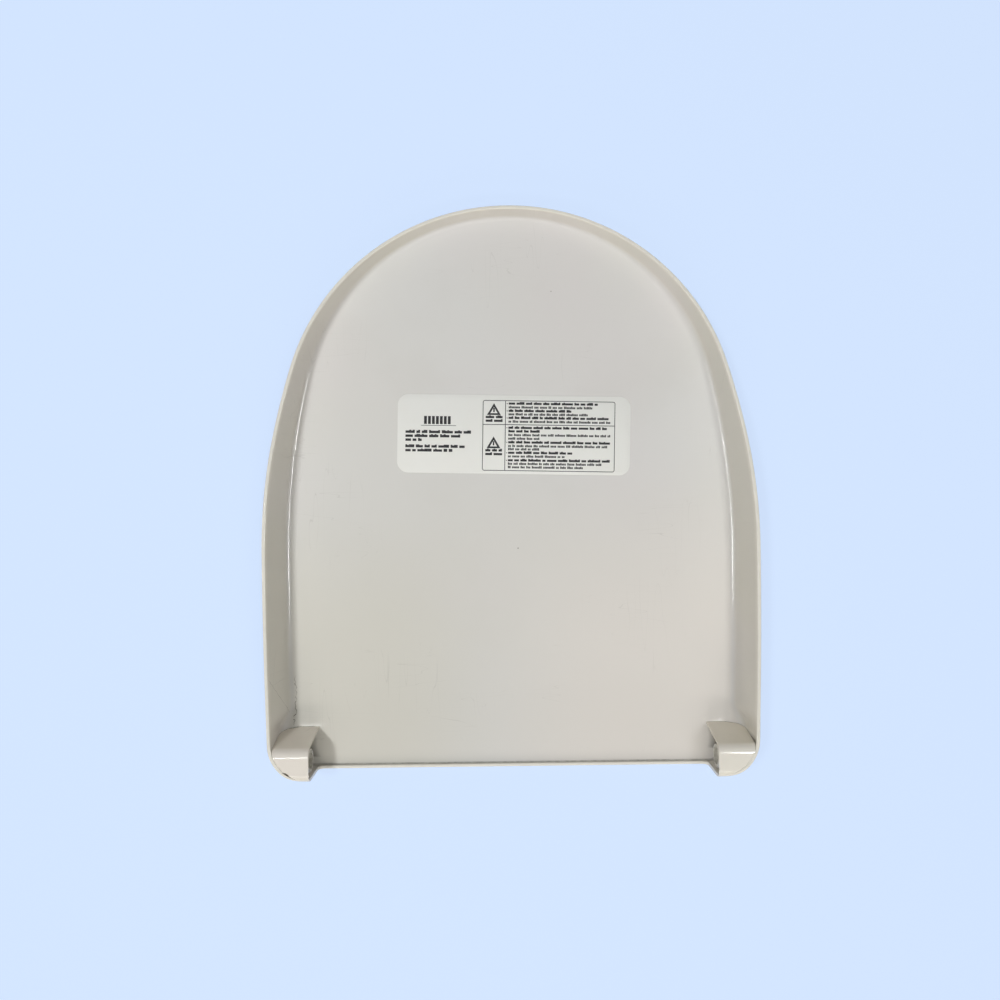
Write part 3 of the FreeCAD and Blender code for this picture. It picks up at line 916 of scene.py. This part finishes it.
def glossy_plastic(name, base, warm, rim=None):
    """Aged glossy plastic: uneven yellowing, faint stains, hairline scuffs, specks and slight ripple.

    Steep faces are painted a little yellower, standing in for warm light thrown back between the walls. rim
    is the colour of the shell's rim, and the covers have none.
    """
    shader = Shader(name)
    colour = shader.mix(shader.ramp(shader.noise(5.0, 1.5, 0.45), 0.3, 0.7), base, warm)
    level = shader.add("ShaderNodeSeparateXYZ", {0: shader.normal}).outputs["Z"]
    # Painted warm bounce light on steep faces, the walls most.
    painted_warm_bounce = shader.ramp(level, 0.2, 0.85, 0.7, 0.0)
    colour = shader.mix(painted_warm_bounce, colour, scaled(base, 1, 0.965, 0.87))
    pink = shader.ramp(shader.noise(7.0, 1.0, 0.45, shift=3.1), 0.45, 0.75, 0.0, 0.6)
    colour = shader.mix(pink, colour, scaled(base, 1.015, 0.975, 0.99))
    stains = shader.ramp(shader.noise(16.0, 3.0, 0.5, shift=1.7), 0.45, 0.8, 0.0, 0.1)
    colour = shader.mix(stains, colour, scaled(base, 0.74, 0.72, 0.66))
    if rim:
        colour = shell_marks(shader, colour, base, rim, level)
    scuffs = shader.math("MAXIMUM", shader.hairlines(9.0, (1, 14, 1), 0.5, 0.004, 0.0),
                         shader.hairlines(8.0, (12, 1, 1), 0.25, 0.0035, 5.0))
    worn = shader.ramp(shader.noise(14.0, 2.0, 0.5, shift=7.7), 0.5, 0.7)
    scuffs = shader.math("MULTIPLY", scuffs, worn)
    colour = shader.mix(shader.math("MULTIPLY", scuffs, 0.16), colour, rgb(0.3, 0.29, 0.26))
    cells = shader.add("ShaderNodeTexVoronoi", {"Vector": shader.place, "Scale": 62.0})
    near = shader.ramp(cells.outputs["Distance"], 0.018, 0.045, 1.0, 0.0)
    picked = shader.ramp(shader.noise(46.0, 1.0, 0.5, shift=2.3), 0.63, 0.66)
    specks = shader.math("MULTIPLY", near, shader.math("MULTIPLY", picked, 0.75))
    colour = shader.mix(specks, colour, rgb(0.17, 0.14, 0.1))
    roughness = shader.ramp(shader.noise(24.0, 5.0, 0.6, shift=4.2), 0.3, 0.75, 0.08, 0.15)
    roughness = shader.math("ADD", roughness, shader.math("MULTIPLY", scuffs, 0.04), clamped=True)
    ripple = shader.bump(shader.noise(30.0, 1.0, 0.4), 0.12, 0.0006)
    grain = shader.bump(shader.noise(1500.0, 2.0, 0.5), 0.08, 0.00012, ripple)
    return shader.finish(colour, roughness, grain, IOR=1.5, Specular_IOR_Level=0.5)


def satin_plastic(name, base, dark):
    """Bearing plastic: satin, with fine turning marks and a little grey from wear."""
    shader = Shader(name)
    wear = shader.ramp(shader.noise(260.0, 5.0, 0.65), 0.35, 0.72)
    colour = shader.mix(wear, base, dark)
    roughness = shader.ramp(shader.noise(420.0, 3.0, 0.5), 0.3, 0.7, 0.38, 0.55)
    grain = shader.bump(shader.noise(2200.0, 2.0, 0.5, (6, 1, 1)), 0.15, 0.0001)
    return shader.finish(colour, roughness, grain)


def film(name):
    """White label film: satin, a little warm in places, with a very fine grain."""
    shader = Shader(name)
    stain = shader.ramp(shader.noise(20.0, 4.0, 0.6), 0.4, 0.75, 0.0, 0.5)
    colour = shader.mix(stain, rgb(0.89, 0.895, 0.865), rgb(0.865, 0.865, 0.82))
    roughness = shader.ramp(shader.noise(120.0, 4.0, 0.6), 0.3, 0.7, 0.34, 0.5)
    grain = shader.bump(shader.noise(3000.0, 2.0, 0.5), 0.1, 0.00006)
    return shader.finish(colour, roughness, grain)


def ink(name):
    """Black print, slightly uneven."""
    shader = Shader(name)
    fade = shader.ramp(shader.noise(600.0, 3.0, 0.6), 0.35, 0.8, 0.0, 0.8)
    colour = shader.mix(fade, rgb(0.03, 0.03, 0.033), rgb(0.09, 0.09, 0.095))
    roughness = shader.ramp(shader.noise(500.0, 2.0, 0.5), 0.3, 0.7, 0.4, 0.6)
    return shader.finish(colour, roughness)


def dirt(name, dark, pale):
    """Dried dirt: uneven and crumbly. On the chip it also stands for painted shade in the chip's hollow."""
    shader = Shader(name)
    colour = shader.mix(shader.ramp(shader.noise(480.0, 5.0, 0.7), 0.32, 0.7), dark, pale)
    roughness = shader.ramp(shader.noise(700.0, 3.0, 0.6), 0.3, 0.7, 0.65, 0.95)
    crumbs = shader.bump(shader.noise(1800.0, 4.0, 0.7), 0.5, 0.0002)
    return shader.finish(colour, roughness, crumbs)


def backdrop(name):
    """Plain pale floor that glows a little, so that it looks even."""
    shader = Shader(name)
    tone = shader.mix(shader.noise(2.0, 1.0, 0.4), rgb(0.11, 0.135, 0.17), rgb(0.113, 0.138, 0.173))
    shader.surface.inputs["Emission Color"].default_value = FLOOR_GLOW
    shader.surface.inputs["Emission Strength"].default_value = 1.0
    shader.surface.inputs["Roughness"].default_value = 0.9
    shader.surface.inputs["Specular IOR Level"].default_value = 0.1
    return shader.finish(tone, None)


# --- Stage, light and camera ---
def make_stage():
    """Pale floor just under the lid. It glows, but doesn't light the lid."""
    size, below = 3.0, 0.0002
    mesh = bpy.data.meshes.new("studio_floor")
    corners = [(-size, -size, 0), (size, -size, 0), (size, size, 0), (-size, size, 0)]
    mesh.from_pydata(corners, [], [(0, 1, 2, 3)])
    mesh.materials.append(backdrop("studio_floor"))
    stage = bpy.data.objects.new("studio_floor", mesh)
    bpy.context.scene.collection.objects.link(stage)
    stage.location.z = -below
    stage.visible_diffuse = False


def area_light(name, place, size, energy, colour, diffuse=True, glossy=True, aim=(0, 0, 0), only=None):
    """Rectangular soft light turned towards a point, for matt shading, for reflections or both.

    only is a list of pieces, when the light falls on nothing else.
    """
    data = bpy.data.lights.new(name, "AREA")
    data.shape = "RECTANGLE"
    data.size, data.size_y = size
    data.energy = energy
    data.color = colour
    lamp = bpy.data.objects.new(name, data)
    lamp.location = place
    lamp.rotation_euler = (Vector(aim) - Vector(place)).to_track_quat("-Z", "Y").to_euler()
    lamp.visible_diffuse = diffuse
    lamp.visible_glossy = glossy
    if only:
        receivers = bpy.data.collections.new(name + "_receivers")
        for piece in only:
            receivers.objects.link(piece)
        lamp.light_linking.receiver_collection = receivers
    bpy.context.scene.collection.objects.link(lamp)


def make_world():
    """Dim surround, warm from below and brighter from above, which the camera sees as a pale horizon."""
    world = bpy.data.worlds.new("studio")
    world.use_nodes = True
    nodes, links = world.node_tree.nodes, world.node_tree.links
    direction = nodes.new("ShaderNodeSeparateXYZ")
    links.new(nodes.new("ShaderNodeTexCoord").outputs["Generated"], direction.inputs[0])
    strength = nodes.new("ShaderNodeMapRange")
    strength.inputs["From Min"].default_value = -0.1
    strength.inputs["To Min"].default_value = 0.065
    strength.inputs["To Max"].default_value = 0.125
    links.new(direction.outputs["Z"], strength.inputs["Value"])
    tint = nodes.new("ShaderNodeMix")
    tint.data_type = "RGBA"
    tint.inputs[MIX_FIRST].default_value = rgb(1.0, 0.88, 0.66)
    tint.inputs[MIX_SECOND].default_value = rgb(0.96, 0.98, 1.0)
    links.new(direction.outputs["Z"], tint.inputs[MIX_SHARE])
    surround = nodes["Background"]
    links.new(strength.outputs[0], surround.inputs["Strength"])
    links.new(tint.outputs[MIX_RESULT], surround.inputs["Color"])
    seen = nodes.new("ShaderNodeBackground")
    seen.inputs["Color"].default_value = HORIZON
    choice = nodes.new("ShaderNodeMixShader")
    links.new(nodes.new("ShaderNodeLightPath").outputs["Is Camera Ray"], choice.inputs[0])
    links.new(surround.outputs[0], choice.inputs[1])
    links.new(seen.outputs[0], choice.inputs[2])
    links.new(choice.outputs[0], nodes["World Output"].inputs["Surface"])
    bpy.context.scene.world = world


def make_lights(shell, covers):
    """Soft light from overhead and behind, low lights round the outside, and narrow ones for highlights."""
    area_light("lamp_left", (-0.82, 0.15, 2.0), (0.25, 0.25), 16.6, COOL_LIGHT, glossy=False)
    area_light("lamp_right", (0.75, 0.05, 2.0), (0.5, 0.5), 6.2, COOL_LIGHT, glossy=False)
    area_light("panel", (0.0, 0.2, 2.4), (1.8, 1.8), 4, COOL_LIGHT)
    area_light("window", (0, -2.3, 0.95), (1.4, 0.6), 13.5, WARM_LIGHT, glossy=False)
    area_light("high_window", (0, -1.7, 2.0), (3.0, 0.4), 14, WARM_LIGHT)

    # In place of what a pale floor would throw back on the outer walls.
    for name, place, energy, lit in (("low_left", (-1.6, 0, 0.02), 4, [shell]),
                                     ("low_right", (1.6, 0, 0.02), 4, [shell]),
                                     ("low_front", (0, 1.6, 0.02), 4, [shell]),
                                     ("low_rear", (0, -1.6, 0.03), 1.5, [shell, *covers])):
        area_light(name, place, (1.2, 0.03), energy, WARM_LIGHT, glossy=False, only=lit)

    # Highlights along the side feet, each from a light on the other side, and on the covers' front edges.
    for name, x in (("foot_glint_left", 3.0), ("foot_glint_right", -3.0)):
        area_light(name, (x, -0.14, 0.6), (0.6, 0.1), 16, COOL_LIGHT, diffuse=False)
    for name, x, size, energy in (("edge_glint_right", 0.83, (0.27, 0.12), 18),
                                  ("edge_glint_left", -0.675, (0.2, 0.1), 2.3)):
        area_light(name, (x, -0.5, 2.0), size, energy, COOL_LIGHT, diffuse=False,
                   aim=(x, -0.5, 0), only=covers)


def make_camera():
    """Camera straight above, a little behind the lid's middle, turned by less than a degree."""
    data = bpy.data.cameras.new("camera")
    data.sensor_width = 36
    data.lens = 29.47
    camera = bpy.data.objects.new("camera", data)
    camera.location = (-0.0080, -0.0097, 0.6673)
    camera.rotation_euler = (0, 0, -0.0124)
    bpy.context.scene.collection.objects.link(camera)
    bpy.context.scene.camera = camera


# --- Build ---
shell_plastic = glossy_plastic("shell_plastic_aged", rgb(0.75, 0.746, 0.732), rgb(0.746, 0.737, 0.704),
                               rim=rgb(0.86, 0.835, 0.76))
# The covers' plastic is paler than the shell's, partly as painted light standing in for light on their tops.
cover_plastic = glossy_plastic("cover_plastic_aged", rgb(0.865, 0.834, 0.762), rgb(0.855, 0.824, 0.742))
sleeve_plastic = satin_plastic("sleeve_plastic_satin", rgb(0.66, 0.64, 0.57), rgb(0.45, 0.43, 0.37))

shell = make_shell(shell_plastic)
covers = [make_cover("hinge_cover_right_visual", 1, cover_plastic),
          make_cover("hinge_cover_left_visual", -1, cover_plastic)]
for sleeve in ("damper_socket_left", "pivot_bush_right"):
    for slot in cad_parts[sleeve].material_slots:
        slot.material = sleeve_plastic
make_label(film("label_film_white"))
make_print(ink("label_ink"))
make_wear(dirt("joint_dirt", rgb(0.12, 0.105, 0.08), rgb(0.42, 0.39, 0.33)),
          dirt("chip_dirt_and_shade", rgb(0.05, 0.04, 0.03), rgb(0.14, 0.115, 0.08)))

make_stage()
make_world()
make_lights(shell, covers)
make_camera()
bpy.context.scene.view_settings.view_transform = "Standard"
